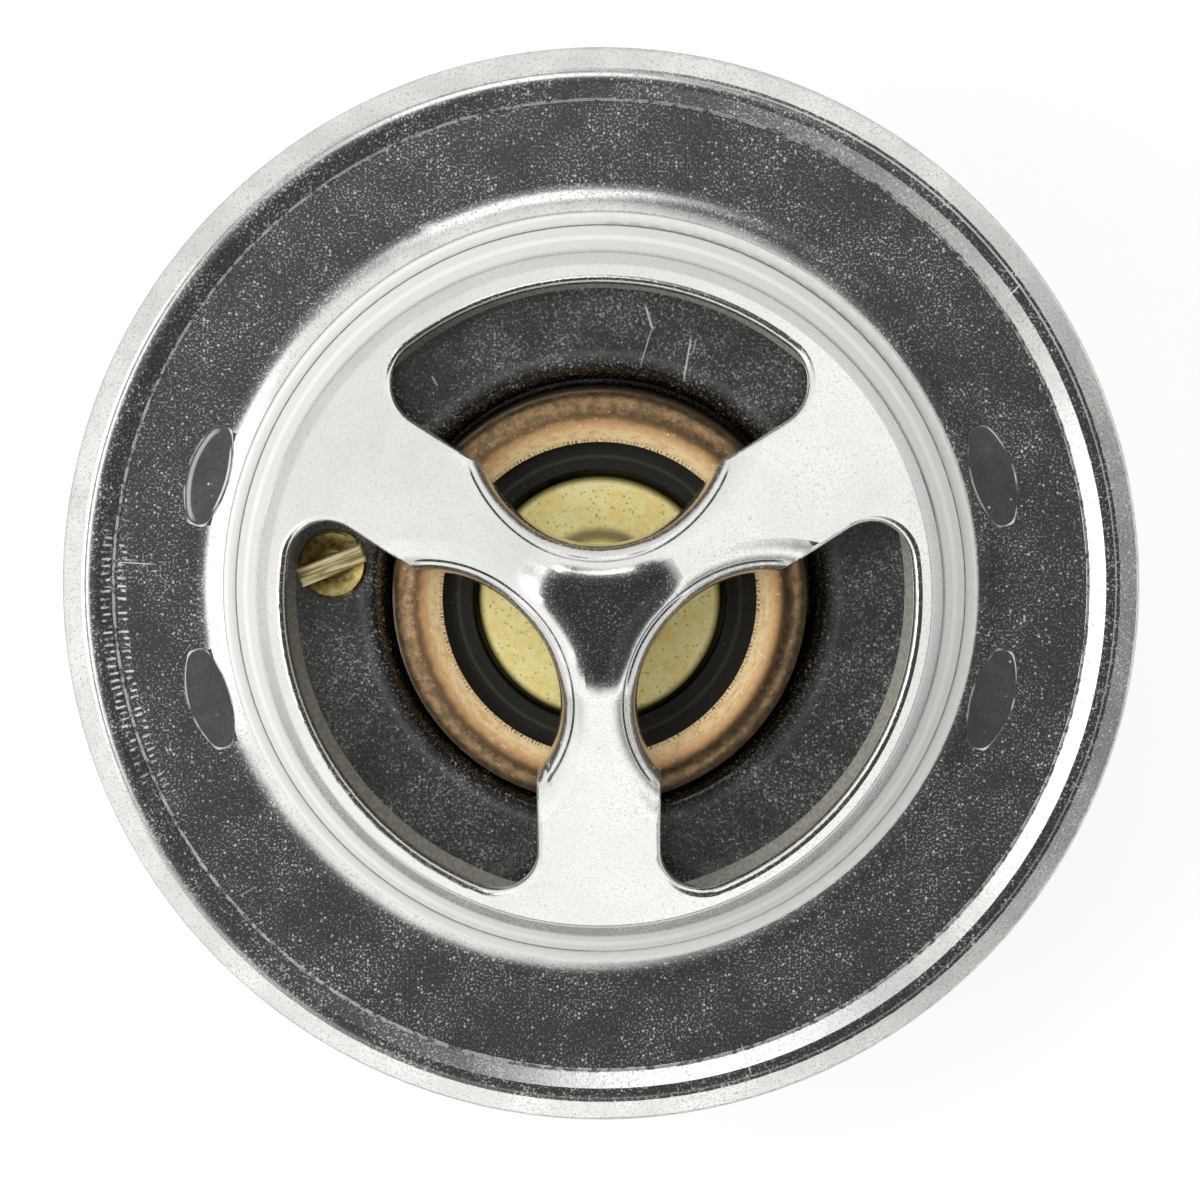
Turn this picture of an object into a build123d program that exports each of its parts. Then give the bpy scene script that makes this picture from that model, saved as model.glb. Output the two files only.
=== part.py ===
from build123d import *
import math
import os

# Engine thermostat: a flanged valve for a cooling circuit. A wax element inside a copper cup pushes
# against a fixed piston and drives the valve plate down, away from the bridge, against a coil spring.
# Millimetres. The origin is on the axis at the flange's flat upper face, +Z towards the bridge.

os.makedirs("parts", exist_ok=True)

# Clearances
press_gap = 0.02  # left between pieces that are pressed, staked or clamped together
slide_gap = 0.05  # piston in its guide, pin in its eyelet
rubber_gap = 0.1  # rubber round the piston, and the closed seal from its seat
free_gap = 0.3  # pieces that pass each other when the valve moves

# Flange: pressed steel ring with a raised, rolled rim and a drawn collar
flange_radius = 27.0
flange_sheet = 1.2
rim_width = 2.65
rim_step = 0.14
rim_slope = 18.0
rim_crest_inset = 1.7
rim_ridge_inset = 1.24
rim_ridge_drop = 0.1
rim_ledge_inset = 1.0
rim_edge_slope = 26.0
rim_edge_round = 0.25
rim_lip_depth = 1.5
edge_break = 0.15
fine_break = 0.05
collar_bore = 18.22
collar_wall = 0.6
collar_height = 1.25
collar_draft = 0.08
collar_ramp_width = 0.68
collar_ramp_slope = 25.0
collar_ramp_round = 3.2
collar_rim_break = 0.24

# Bridge: domed steel stamping with three windows, held in the collar
bridge_sheet = 0.9
bridge_height = 13.0
hub_radius = 3.4
hub_round = 4.2
dome_radius = 16.45
dome_height = 5.0
dome_round = 0.5
ledge_radius = 17.0
ledge_height = 4.2
shelf_radius = 17.55
shelf_height = 2.4
shelf_width = 0.25
shelf_drop = 0.2
neck_height = 1.1
seat_height = 1.4
seat_wall = 0.75
foot_width = 1.1
foot_round = 0.4

# Windows of the bridge
leg_count = 3
first_leg_angle = 30.0
window_radius = 15.5
window_corner = 2.1
window_edge_round = 0.3
leg_width = 6.1
bay_radius = 6.2
bay_centre = 9.3
lip_start = 7.0
lip_reach = 9.7
lip_depth = 2.6
lip_roll = 1.5
lip_wall = 1.0

# Frame: drawn steel cup with two straps, staked into the flange
frame_sheet = 1.4
frame_gap = 0.35
frame_depth = 24.0
frame_knee_depth = 6.0
frame_base_radius = 12.9
frame_bend = 2.4
strap_width = 17.4
strap_waist = 15.0
base_wall_height = 2.8
strap_root_round = 2.5
tab_angle = 16.0
tab_width = 4.8
tab_head_length = 5.2
tab_head_outer = 1.15
tab_head_inner = 1.0
tab_head_end = 0.42
tab_head_round = 0.3
tab_head_depth = 0.45
cup_guide_height = 4.4

# Wax element
cup_radius = 7.5
cup_sheet = 0.8
cup_bottom = 23.4
cup_bottom_round = 1.6
cup_shoulder_depth = 0.6
cup_rim_radius = 10.25
cup_corner = 0.9
crimp_height = 6.0
crimp_roll = 1.25
crimp_slope = 12.0
crimp_mouth_radius = 7.75
sleeve_flange = 1.66
guide_flange = 1.7
guide_radius = 5.95
guide_height = 5.2
guide_groove = 0.3
guide_boss_radius = 2.8
guide_boss_height = 0.7
guide_boss_fillet = 0.55
guide_edge = 0.25
washer_edge = 0.12
seal_pocket_radius = 3.4
seal_ring_height = 1.3
backup_height = 0.6
sleeve_radius = 4.0
sleeve_floor = 1.6

# Piston
piston_radius = 2.0
piston_depth = 14.5
piston_taper_depth = 8.0
piston_tip_radius = 1.2
piston_chamfer = 0.25

# Valve plate and its seal
plate_sheet = 0.9
plate_height = 2.35
plate_radius = 15.9
plate_bend = 0.75
plate_hub_gap = 0.35
floor_bore_gap = 0.35
seal_inner_radius = 15.15
seal_lip = 0.4
seal_foot = 0.3
seal_corner_height = 2.0

# Bleed hole with its jiggle pin
bleed_radius = 13.4
bleed_angle = 174.0
eyelet_head_radius = 1.72
eyelet_head_height = 0.42
eyelet_barrel_radius = 1.25
eyelet_bore = 0.75
eyelet_dish_depth = 0.32
eyelet_flare_radius = 1.6
eyelet_flare_height = 0.3
pin_radius = 0.5
pin_bar_length = 3.5
pin_bar_width = 0.95
pin_bar_height = 0.7
pin_bar_angle = 22.0
pin_travel = 1.2
bob_radius = 1.35
bob_height = 1.7
bob_round = 0.35

# Coil spring
wire_radius = 0.9
spring_top_radius = 9.75
spring_base_radius = 10.5
spring_turns = 4.0
end_turns = 0.9
ground_offset = 0.3
coil_gap = 0.08
pitch_ease = 0.6
points_per_turn = 12

# Sizes that follow from the values above
flange_under = -flange_sheet
rim_rise = rim_step + (rim_width - rim_step - rim_crest_inset) * math.tan(math.radians(rim_slope))
rim_drop = rim_ledge_inset * math.tan(math.radians(rim_edge_slope))
collar_radius = collar_bore + collar_wall
collar_ramp_height = collar_ramp_width * math.tan(math.radians(collar_ramp_slope))
skirt_radius = collar_bore - press_gap
skirt_bore = skirt_radius - bridge_sheet
foot_radius = skirt_radius + foot_width
frame_radius = foot_radius + frame_gap + frame_sheet
dome_slope = (bridge_height - dome_height) / (dome_radius - hub_radius)
dome_drop = bridge_sheet * math.hypot(1, dome_slope)
hub_under = bridge_height - bridge_sheet
hub_under_radius = hub_radius - bridge_sheet * math.tan(math.atan(dome_slope) / 2)
seat_top_radius = dome_radius - seat_wall
seat_top_height = dome_height + seat_wall * dome_slope - dome_drop
seat_taper = (skirt_bore - seat_top_radius) / (seat_top_height - seat_height)
foot_top = flange_under - press_gap
shoulder_height = -cup_shoulder_depth
cup_inner_radius = cup_radius - cup_sheet
cup_rim_inner = cup_rim_radius - cup_sheet
cup_ledge_height = shoulder_height + cup_sheet
element_radius = cup_rim_inner - press_gap
sleeve_base = cup_ledge_height + press_gap
guide_base = sleeve_base + sleeve_flange + press_gap
guide_ledge = guide_base + guide_flange
crimp_angle = math.radians(crimp_slope)
crimp_centre_radius = cup_rim_radius - crimp_roll
crimp_centre_height = crimp_height - crimp_roll
fold_start_radius = crimp_centre_radius - crimp_roll * math.sin(crimp_angle)
fold_length = (fold_start_radius - crimp_mouth_radius) / math.cos(crimp_angle)
fold_inner_roll = crimp_roll - cup_sheet
fold_drop = fold_length * math.sin(crimp_angle)
fold_tip_height = crimp_centre_height + fold_inner_roll * math.cos(crimp_angle) - fold_drop
piston_bore = piston_radius + slide_gap
sleeve_bore = piston_radius + rubber_gap
sleeve_bottom = -piston_depth - rubber_gap - sleeve_floor
plate_under = plate_height - plate_sheet
hub_bore = cup_rim_radius + plate_hub_gap
floor_top = shoulder_height - press_gap
floor_under = floor_top - plate_sheet
floor_bore = cup_radius + floor_bore_gap
washer_height = fold_tip_height - guide_ledge - 2 * press_gap
seal_top = plate_height + seal_lip
strap_top = flange_under - press_gap
strap_middle_radius = frame_radius - frame_sheet / 2
spring_top = floor_under - press_gap
spring_base = frame_sheet - frame_depth + press_gap


def seat_radius(height):
    """Inner radius of the bridge's conical seat at a height."""
    return skirt_bore - (height - seat_height) * seat_taper


def tab_head_outline(grow=0.0):
    """Oval of a staked tab's head: x points away from the axis, y runs round the flange."""
    half_length = tab_head_length / 2 + grow
    half_end = tab_head_end + grow
    with BuildSketch(mode=Mode.PRIVATE) as outline:
        with BuildLine():
            Line((-half_end, -half_length), (half_end, -half_length))
            ThreePointArc((half_end, -half_length), (tab_head_outer + grow, 0), (half_end, half_length))
            Line((half_end, half_length), (-half_end, half_length))
            ThreePointArc((-half_end, half_length), (-tab_head_inner - grow, 0), (-half_end, -half_length))
        make_face()
        fillet(outline.vertices(), radius=tab_head_round)
    return outline.sketch


seal_radius = seat_radius(seal_corner_height) - rubber_gap

# The four tabs stand on one circle, in pairs to the right and left; each faces away from the axis
tab_angles = (tab_angle, -tab_angle, 180 + tab_angle, 180 - tab_angle)
tab_places = [Rot(0, 0, angle) * Pos(strap_middle_radius, 0, 0) for angle in tab_angles]

# Flange
with BuildPart() as flange:
    with BuildSketch(Plane.XZ):
        with BuildLine():
            FilletPolyline(
                (collar_bore, collar_height),
                (collar_radius, collar_height),
                (collar_radius + collar_draft, collar_ramp_height),
                (collar_radius + collar_draft + collar_ramp_width, 0),
                (flange_radius - rim_width, 0),
                (flange_radius - rim_width + rim_step, rim_step),
                (flange_radius - rim_crest_inset, rim_rise),
                (flange_radius - rim_ridge_inset, rim_rise),
                (flange_radius - rim_ridge_inset + rim_ridge_drop, rim_rise - rim_ridge_drop),
                (flange_radius - rim_ledge_inset, rim_rise - rim_ridge_drop),
                (flange_radius, rim_rise - rim_ridge_drop - rim_drop),
                (flange_radius, -rim_lip_depth),
                (flange_radius - flange_sheet, -rim_lip_depth),
                (flange_radius - flange_sheet, rim_rise - flange_sheet),
                (flange_radius - rim_width, flange_under),
                (collar_bore, flange_under),
                radius=[
                    collar_rim_break,
                    collar_rim_break,
                    fine_break,
                    collar_ramp_round,
                    fine_break,
                    fine_break,
                    edge_break,
                    0,
                    0,
                    fine_break,
                    rim_edge_round,
                    edge_break,
                    edge_break,
                    edge_break,
                    edge_break,
                    edge_break,
                ],
                close=True,
            )
        make_face()
    revolve(axis=Axis.Z)
    with BuildSketch(Plane.XY) as stem_slots:
        with Locations(*tab_places):
            Rectangle(frame_sheet + 2 * press_gap, tab_width + 2 * press_gap)
    extrude(amount=flange_sheet * 2, both=True, mode=Mode.SUBTRACT)
    with BuildSketch(Plane.XY.offset(-tab_head_depth)) as head_recesses:
        with Locations(*tab_places):
            add(tab_head_outline(press_gap))
    extrude(amount=flange_sheet, mode=Mode.SUBTRACT)

# The section plane of the bridge runs through a leg, clear of the windows; the legs start at the axis
from_axis = (Align.MIN, Align.CENTER)
leg_plane = Plane.XZ.rotated((0, 0, first_leg_angle))
bay_angles = [first_leg_angle + (index + 0.5) * 360 / leg_count for index in range(leg_count)]
bays = [Vector(bay_centre, 0).rotate(Axis.Z, angle) for angle in bay_angles]


def above_dome(point):
    """Height of a point over the conical upper face of the bridge."""
    return point.Z - dome_height - (dome_radius - math.hypot(point.X, point.Y)) * dome_slope


def is_lip_edge(edge):
    """True where a bay meets the upper face of the bridge, within the reach of its lip."""
    middle = edge @ 0.5
    from_bay = min(abs((Vector(middle.X, middle.Y) - bay).length - bay_radius) for bay in bays)
    near_face = above_dome(middle) > -edge_break or middle.Z > bridge_height - edge_break
    return from_bay < press_gap and math.hypot(middle.X, middle.Y) < lip_reach and near_face


def is_window_edge(edge):
    """True for the upper edges of a window away from its lip."""
    middle = edge @ 0.5
    beyond_lip = bay_centre < math.hypot(middle.X, middle.Y) < dome_radius - dome_round
    return beyond_lip and abs(above_dome(middle)) < press_gap


# Turned-down lips of the bridge, cut from a band under the dome
with BuildPart() as bridge_lips:
    with BuildSketch(leg_plane):
        with BuildLine():
            Polyline(
                (0, hub_under),
                (hub_under_radius, hub_under),
                (dome_radius, dome_height - bridge_sheet),
                (dome_radius, dome_height - lip_depth),
                (hub_under_radius, bridge_height - lip_depth),
                (0, bridge_height - lip_depth),
                close=True,
            )
        make_face()
    revolve(axis=Axis.Z)
    with BuildSketch(Plane.XY):
        with PolarLocations(0, leg_count, start_angle=first_leg_angle):
            Rectangle(lip_reach, leg_width, align=from_axis)
            Rectangle(lip_reach, leg_width - 2 * lip_wall, align=from_axis, mode=Mode.SUBTRACT)
        Circle(lip_start, mode=Mode.SUBTRACT)
        with Locations(*bays):
            Circle(bay_radius + lip_wall)
        with Locations(*bays):
            Circle(bay_radius, mode=Mode.SUBTRACT)
        Circle(lip_reach, mode=Mode.INTERSECT)
    extrude(amount=bridge_height, mode=Mode.INTERSECT)

# Bridge
with BuildPart() as bridge:
    with BuildSketch(leg_plane):
        with BuildLine():
            FilletPolyline(
                (0, bridge_height),
                (hub_radius, bridge_height),
                (dome_radius, dome_height),
                (ledge_radius, ledge_height),
                (shelf_radius, shelf_height),
                (shelf_radius + shelf_width, shelf_height - shelf_drop),
                (skirt_radius, neck_height),
                (skirt_radius, foot_top),
                (foot_radius, foot_top),
                (foot_radius, foot_top - bridge_sheet),
                (skirt_bore, foot_top - bridge_sheet),
                (skirt_bore, seat_height),
                (seat_top_radius, seat_top_height),
                (hub_under_radius, hub_under),
                (0, hub_under),
                radius=[
                    0,
                    hub_round,
                    dome_round,
                    edge_break,
                    edge_break,
                    edge_break,
                    0,
                    0,
                    edge_break,
                    edge_break,
                    foot_round,
                    0,
                    edge_break,
                    hub_round - bridge_sheet,
                    0,
                ],
                close=True,
            )
        make_face()
    revolve(axis=Axis.Z)
    add(bridge_lips.part)
    with BuildSketch(Plane.XY.offset(dome_height / 2)) as windows:
        Circle(window_radius)
        with PolarLocations(0, leg_count, start_angle=first_leg_angle):
            Rectangle(dome_radius, leg_width, align=from_axis, mode=Mode.SUBTRACT)
        fillet(
            windows.vertices().filter_by(lambda corner: math.hypot(corner.X, corner.Y) > bay_centre),
            radius=window_corner,
        )
        with Locations(*bays):
            Circle(bay_radius)
    extrude(amount=bridge_height, mode=Mode.SUBTRACT)
    fillet(bridge.edges().filter_by(is_lip_edge), radius=lip_roll)
    fillet(bridge.edges().filter_by(is_window_edge), radius=window_edge_round)

# Frame
with BuildPart() as frame:
    with BuildSketch(Plane.XZ):
        with BuildLine():
            FilletPolyline(
                (frame_radius, strap_top),
                (frame_radius, -frame_knee_depth),
                (frame_base_radius, -frame_depth),
                (cup_radius + free_gap, -frame_depth),
                (cup_radius + free_gap, cup_guide_height - frame_depth),
                radius=[frame_bend + frame_sheet, frame_bend, frame_sheet + edge_break],
            )
            offset(amount=frame_sheet, side=Side.RIGHT)
        make_face()
    revolve(axis=Axis.Z)
    with BuildSketch(Plane.YZ) as strap_outline:
        with BuildLine():
            Polyline(
                (-strap_width / 2, strap_top),
                (strap_width / 2, strap_top),
                (strap_waist / 2, base_wall_height - frame_depth),
                (-strap_waist / 2, base_wall_height - frame_depth),
                close=True,
            )
        make_face()
        with Locations((0, -frame_depth)):
            Rectangle(2 * frame_radius, base_wall_height, align=(Align.CENTER, Align.MIN))
        fillet(
            strap_outline.vertices()
            .filter_by(lambda corner: abs(corner.Y) < strap_width / 2)
            .group_by(Axis.Z)[-1],
            radius=strap_root_round,
        )
    extrude(amount=frame_radius, both=True, mode=Mode.INTERSECT)
    with BuildSketch(Plane.XY.offset(strap_top)):
        with Locations(*tab_places):
            Rectangle(frame_sheet, tab_width)
    extrude(amount=-strap_top - tab_head_depth)
    with BuildSketch(Plane.XY.offset(-tab_head_depth)):
        with Locations(*tab_places):
            add(tab_head_outline())
    extrude(amount=tab_head_depth)

# Wax cup
with BuildPart() as wax_cup:
    with BuildSketch(Plane.XZ):
        with BuildLine():
            FilletPolyline(
                (0, -cup_bottom),
                (cup_radius, -cup_bottom),
                (cup_radius, shoulder_height),
                (cup_rim_radius, shoulder_height),
                (cup_rim_radius, crimp_centre_height),
                radius=[cup_bottom_round, edge_break, cup_corner],
            )
            crimp = CenterArc((crimp_centre_radius, crimp_centre_height), crimp_roll, 0, 90 + crimp_slope)
            PolarLine(crimp @ 1, fold_length, 180 + crimp_slope)
            offset(amount=cup_sheet, side=Side.LEFT)
        make_face()
    revolve(axis=Axis.Z)

# Guide
with BuildPart() as guide:
    with BuildSketch(Plane.XZ):
        with BuildLine():
            FilletPolyline(
                (piston_bore, guide_height + guide_boss_height),
                (guide_boss_radius, guide_height + guide_boss_height),
                (guide_boss_radius, guide_height),
                (guide_radius, guide_height),
                (guide_radius, guide_ledge - guide_groove),
                (guide_radius + guide_groove, guide_ledge - guide_groove),
                (guide_radius + guide_groove, guide_ledge),
                (element_radius, guide_ledge),
                (element_radius, guide_base),
                (seal_pocket_radius, guide_base),
                (seal_pocket_radius, guide_base + backup_height + seal_ring_height + 2 * press_gap),
                (piston_bore, guide_base + backup_height + seal_ring_height + 2 * press_gap),
                radius=[0, edge_break, guide_boss_fillet, guide_edge, edge_break, 0, 0, 0, 0, 0, 0, 0],
                close=True,
            )
        make_face()
    revolve(axis=Axis.Z)

# Clamp washer, squeezed between the guide and the rolled rim of the cup
with BuildPart() as clamp_washer:
    with Locations((0, 0, guide_ledge + press_gap)):
        Cylinder(element_radius, washer_height, align=(Align.CENTER, Align.CENTER, Align.MIN))
    Hole(guide_radius + guide_groove)
    fillet(clamp_washer.edges().group_by(Axis.Z)[-1], radius=washer_edge)

# Seal ring and its backup washer, round the piston in the guide's pocket
with BuildPart() as backup_washer:
    with Locations((0, 0, guide_base)):
        Cylinder(
            seal_pocket_radius - press_gap, backup_height, align=(Align.CENTER, Align.CENTER, Align.MIN)
        )
    Hole(piston_bore)

with BuildPart() as seal_ring:
    with Locations((0, 0, guide_base + backup_height + press_gap)):
        Cylinder(
            seal_pocket_radius - press_gap, seal_ring_height, align=(Align.CENTER, Align.CENTER, Align.MIN)
        )
    Hole(sleeve_bore)
    fillet(seal_ring.edges(), radius=washer_edge)

# Rubber sleeve: a boot round the piston, with a flange clamped under the guide
with BuildPart() as rubber_sleeve:
    with BuildSketch(Plane.XZ):
        with BuildLine():
            FilletPolyline(
                (sleeve_bore, sleeve_base + sleeve_flange),
                (element_radius, sleeve_base + sleeve_flange),
                (element_radius, sleeve_base),
                (sleeve_radius, sleeve_base),
                (sleeve_radius, sleeve_bottom),
                (0, sleeve_bottom),
                (0, -piston_depth - rubber_gap),
                (piston_tip_radius + rubber_gap, -piston_depth - rubber_gap),
                (sleeve_bore, -piston_taper_depth - rubber_gap),
                radius=[0, edge_break, edge_break, 0, sleeve_floor, 0, 0, edge_break, 0],
                close=True,
            )
        make_face()
    revolve(axis=Axis.Z)

# Wax charge, filling the cup round the sleeve
with BuildPart() as wax_charge:
    with BuildSketch(Plane.XZ):
        with BuildLine():
            FilletPolyline(
                (sleeve_radius + press_gap, sleeve_base - press_gap),
                (cup_inner_radius - press_gap, sleeve_base - press_gap),
                (cup_inner_radius - press_gap, cup_sheet - cup_bottom + press_gap),
                (0, cup_sheet - cup_bottom + press_gap),
                (0, sleeve_bottom - press_gap),
                (sleeve_radius + press_gap, sleeve_bottom - press_gap),
                radius=[0, edge_break, cup_bottom_round - cup_sheet, 0, 0, sleeve_floor + press_gap],
                close=True,
            )
        make_face()
    revolve(axis=Axis.Z)

# Piston
with BuildPart() as piston:
    with BuildSketch(Plane.XZ):
        with BuildLine():
            Polyline(
                (0, hub_under - press_gap),
                (piston_radius - piston_chamfer, hub_under - press_gap),
                (piston_radius, hub_under - press_gap - piston_chamfer),
                (piston_radius, -piston_taper_depth),
                (piston_tip_radius, -piston_depth),
                (0, -piston_depth),
                close=True,
            )
        make_face()
    revolve(axis=Axis.Z)

# Valve plate
bleed_centre = Vector(bleed_radius, 0).rotate(Axis.Z, bleed_angle)
with BuildPart() as valve_plate:
    with BuildSketch(Plane.XZ):
        with BuildLine():
            FilletPolyline(
                (plate_radius, plate_height),
                (hub_bore, plate_height),
                (hub_bore, floor_top),
                (floor_bore, floor_top),
                radius=[plate_bend, edge_break],
            )
            offset(amount=plate_sheet, side=Side.LEFT)
        make_face()
    revolve(axis=Axis.Z)
    with Locations(bleed_centre):
        Hole(eyelet_barrel_radius + press_gap)

# Valve seal, moulded round the rim of the plate
with BuildPart() as valve_seal:
    with BuildSketch(Plane.XZ):
        with BuildLine():
            FilletPolyline(
                (seal_inner_radius, plate_height + press_gap),
                (plate_radius, seal_top),
                (seat_radius(seal_top) - rubber_gap, seal_top),
                (seal_radius, seal_corner_height),
                (seal_radius, plate_under - seal_foot),
                (seal_inner_radius, plate_under - seal_foot),
                (seal_inner_radius, plate_under - press_gap),
                (plate_radius + press_gap, plate_under - press_gap),
                (plate_radius + press_gap, plate_height + press_gap),
                radius=[0, edge_break, edge_break, edge_break, edge_break, edge_break, 0, 0, 0],
                close=True,
            )
        make_face()
    revolve(axis=Axis.Z)

# Bleed eyelet: brass tube riveted through the plate, with a dished head
with BuildPart() as bleed_eyelet:
    with BuildSketch(Plane(bleed_centre, x_dir=(1, 0, 0), z_dir=(0, -1, 0))):
        with BuildLine():
            Polyline(
                (eyelet_bore, plate_height + eyelet_head_height - eyelet_dish_depth),
                (eyelet_head_radius - edge_break, plate_height + eyelet_head_height),
                (eyelet_head_radius, plate_height + eyelet_head_height - edge_break),
                (eyelet_head_radius, plate_height + press_gap),
                (eyelet_barrel_radius, plate_height + press_gap),
                (eyelet_barrel_radius, plate_under - press_gap),
                (eyelet_flare_radius, plate_under - press_gap),
                (eyelet_flare_radius, plate_under - eyelet_flare_height),
                (eyelet_bore, plate_under - eyelet_flare_height),
                close=True,
            )
        make_face()
    revolve(axis=Axis(bleed_centre, (0, 0, 1)))

# Jiggle pin: flattened bar on top, shank through the eyelet, round bob below
pin_rest = plate_height + eyelet_head_height + press_gap
bob_top = plate_under - eyelet_flare_height - pin_travel - press_gap
with BuildPart() as jiggle_pin:
    with BuildSketch(Plane(bleed_centre, x_dir=(1, 0, 0), z_dir=(0, -1, 0))):
        with BuildLine():
            FilletPolyline(
                (0, pin_rest + edge_break),
                (pin_radius, pin_rest + edge_break),
                (pin_radius, bob_top),
                (bob_radius, bob_top),
                (bob_radius, bob_top - bob_height),
                (0, bob_top - bob_height),
                radius=[0, 0, edge_break, bob_round, bob_round, 0],
                close=True,
            )
        make_face()
    revolve(axis=Axis(bleed_centre, (0, 0, 1)))
    with BuildSketch(Plane(bleed_centre + Vector(0, 0, pin_rest))):
        Rectangle(pin_bar_length, pin_bar_width, rotation=pin_bar_angle)
    extrude(amount=pin_bar_height)
    fillet(jiggle_pin.edges().filter_by(GeomType.LINE).group_by(Axis.Z)[-1], radius=edge_break)

# Coil spring: closed end turns and open turns between, on a slightly conical pitch surface,
# with both ends ground flat
turn_count = spring_turns + 2 * end_turns
wire_span = spring_top - spring_base - 2 * ground_offset
closed_rise = (2 * wire_radius + coil_gap) * turn_count
point_count = round(turn_count * points_per_turn) + 1


def spring_point(turns):
    """Centre of the wire after a number of turns from the base."""
    open_share = min(max((turns - end_turns) / spring_turns, 0), 1)
    eased_share = open_share - pitch_ease * math.sin(2 * math.pi * open_share) / (2 * math.pi)
    rise = closed_rise * turns / turn_count + (wire_span - closed_rise) * eased_share
    radius = spring_base_radius + (spring_top_radius - spring_base_radius) * turns / turn_count
    return Vector(radius, 0, spring_base + ground_offset + rise).rotate(Axis.Z, 360 * turns)


with BuildPart() as spring:
    with BuildLine() as coil:
        Spline([spring_point(step / points_per_turn) for step in range(point_count)])
    with BuildSketch(Plane(coil.line @ 0, z_dir=coil.line % 0)):
        Circle(wire_radius)
    sweep()
    split(bisect_by=Plane.XY.offset(spring_base), keep=Keep.TOP)
    split(bisect_by=Plane.XY.offset(spring_top), keep=Keep.BOTTOM)

for node, sub_part in (
    ("flange", flange),
    ("bridge", bridge),
    ("frame", frame),
    ("spring", spring),
    ("piston", piston),
    ("valve_plate", valve_plate),
    ("valve_seal", valve_seal),
    ("wax_cup", wax_cup),
    ("wax_charge", wax_charge),
    ("rubber_sleeve", rubber_sleeve),
    ("guide", guide),
    ("seal_ring", seal_ring),
    ("backup_washer", backup_washer),
    ("clamp_washer", clamp_washer),
    ("bleed_eyelet", bleed_eyelet),
    ("jiggle_pin", jiggle_pin),
):
    sub_part.part.label = node
    export_step(sub_part.part, f"parts/{node}.step")
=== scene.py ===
import math

import bpy
from mathutils import Matrix, Vector


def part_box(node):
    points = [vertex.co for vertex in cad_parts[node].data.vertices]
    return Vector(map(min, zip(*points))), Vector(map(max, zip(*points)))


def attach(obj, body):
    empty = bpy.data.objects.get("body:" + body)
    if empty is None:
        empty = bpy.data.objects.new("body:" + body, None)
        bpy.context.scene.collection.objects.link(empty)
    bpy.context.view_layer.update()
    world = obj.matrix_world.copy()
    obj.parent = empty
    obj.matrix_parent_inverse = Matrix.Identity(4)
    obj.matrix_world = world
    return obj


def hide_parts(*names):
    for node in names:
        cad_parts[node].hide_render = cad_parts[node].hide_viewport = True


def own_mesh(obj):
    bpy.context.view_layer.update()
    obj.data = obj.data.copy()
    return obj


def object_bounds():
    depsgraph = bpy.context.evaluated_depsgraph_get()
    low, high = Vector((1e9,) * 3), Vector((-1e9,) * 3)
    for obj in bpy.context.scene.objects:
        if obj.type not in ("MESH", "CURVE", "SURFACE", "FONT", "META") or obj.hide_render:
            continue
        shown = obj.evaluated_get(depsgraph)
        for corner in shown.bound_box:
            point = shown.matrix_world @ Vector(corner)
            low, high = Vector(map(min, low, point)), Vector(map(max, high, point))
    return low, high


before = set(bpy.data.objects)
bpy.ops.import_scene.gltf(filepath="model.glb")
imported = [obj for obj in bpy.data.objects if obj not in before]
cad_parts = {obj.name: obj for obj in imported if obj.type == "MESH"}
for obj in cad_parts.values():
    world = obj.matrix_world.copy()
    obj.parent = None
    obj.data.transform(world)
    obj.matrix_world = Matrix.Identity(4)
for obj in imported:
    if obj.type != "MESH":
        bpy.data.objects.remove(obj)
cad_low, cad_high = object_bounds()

# Camera: looks down on the outlet side from about an arm's length, leaning a little towards the far
# edge, so that the flange's centre sits just above the middle of the picture.
camera_distance = 0.375
camera_lean = math.radians(5.4)
camera_side = math.radians(0.5)
camera_aim = Vector((-0.00003, -0.00062, 0))
picture_width = 0.06012
camera_back = Vector(
    (math.sin(camera_side), math.sin(camera_lean), math.cos(camera_lean))
).normalized()
camera_right = Vector((0, 1, 0)).cross(camera_back).normalized()
camera = bpy.data.objects.new("camera", bpy.data.cameras.new("camera"))
camera.data.lens = camera.data.sensor_width * camera_distance / picture_width
camera.matrix_world = Matrix.Translation(camera_aim + camera_back * camera_distance) @ Matrix(
    (camera_right, camera_back.cross(camera_right), camera_back)
).transposed().to_4x4()
bpy.context.scene.collection.objects.link(camera)
bpy.context.scene.camera = camera
bpy.context.scene.view_settings.view_transform = "Standard"

# Studio light: a white tent all round with a wide dim opening overhead, which leans to the right.
# The tent is darker low down on the right. Two weak lamps stand behind the object and on its left.
# The camera sees plain white behind the object.


def set_inputs(tree, node, inputs):
    """Sets a node's inputs, each to a value or to an output socket that is linked to it."""
    for key, value in inputs.items():
        if isinstance(value, bpy.types.NodeSocket):
            tree.links.new(value, node.inputs[key])
        else:
            node.inputs[key].default_value = value


def add_node(tree, kind, inputs=None, **settings):
    """One node with its settings and inputs."""
    made = tree.nodes.new(kind)
    for name, value in settings.items():
        setattr(made, name, value)
    set_inputs(tree, made, inputs or {})
    return made


def calculate(tree, operation, *values, clamp=False):
    """The output of one Math node."""
    return add_node(
        tree, "ShaderNodeMath", dict(enumerate(values)), operation=operation, use_clamp=clamp
    ).outputs[0]


def ramp(tree, value, low, high, to_low=0.0, to_high=1.0):
    """A smooth step of a value from one level to another."""
    return add_node(
        tree,
        "ShaderNodeMapRange",
        {0: value, 1: low, 2: high, 3: to_low, 4: to_high},
        interpolation_type="SMOOTHSTEP",
    ).outputs[0]


def facing(tree, direction, axis):
    """How far a direction points along an axis, from -1 to 1."""
    return add_node(
        tree, "ShaderNodeVectorMath", {0: direction, 1: axis}, operation="DOT_PRODUCT"
    ).outputs["Value"]


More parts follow.
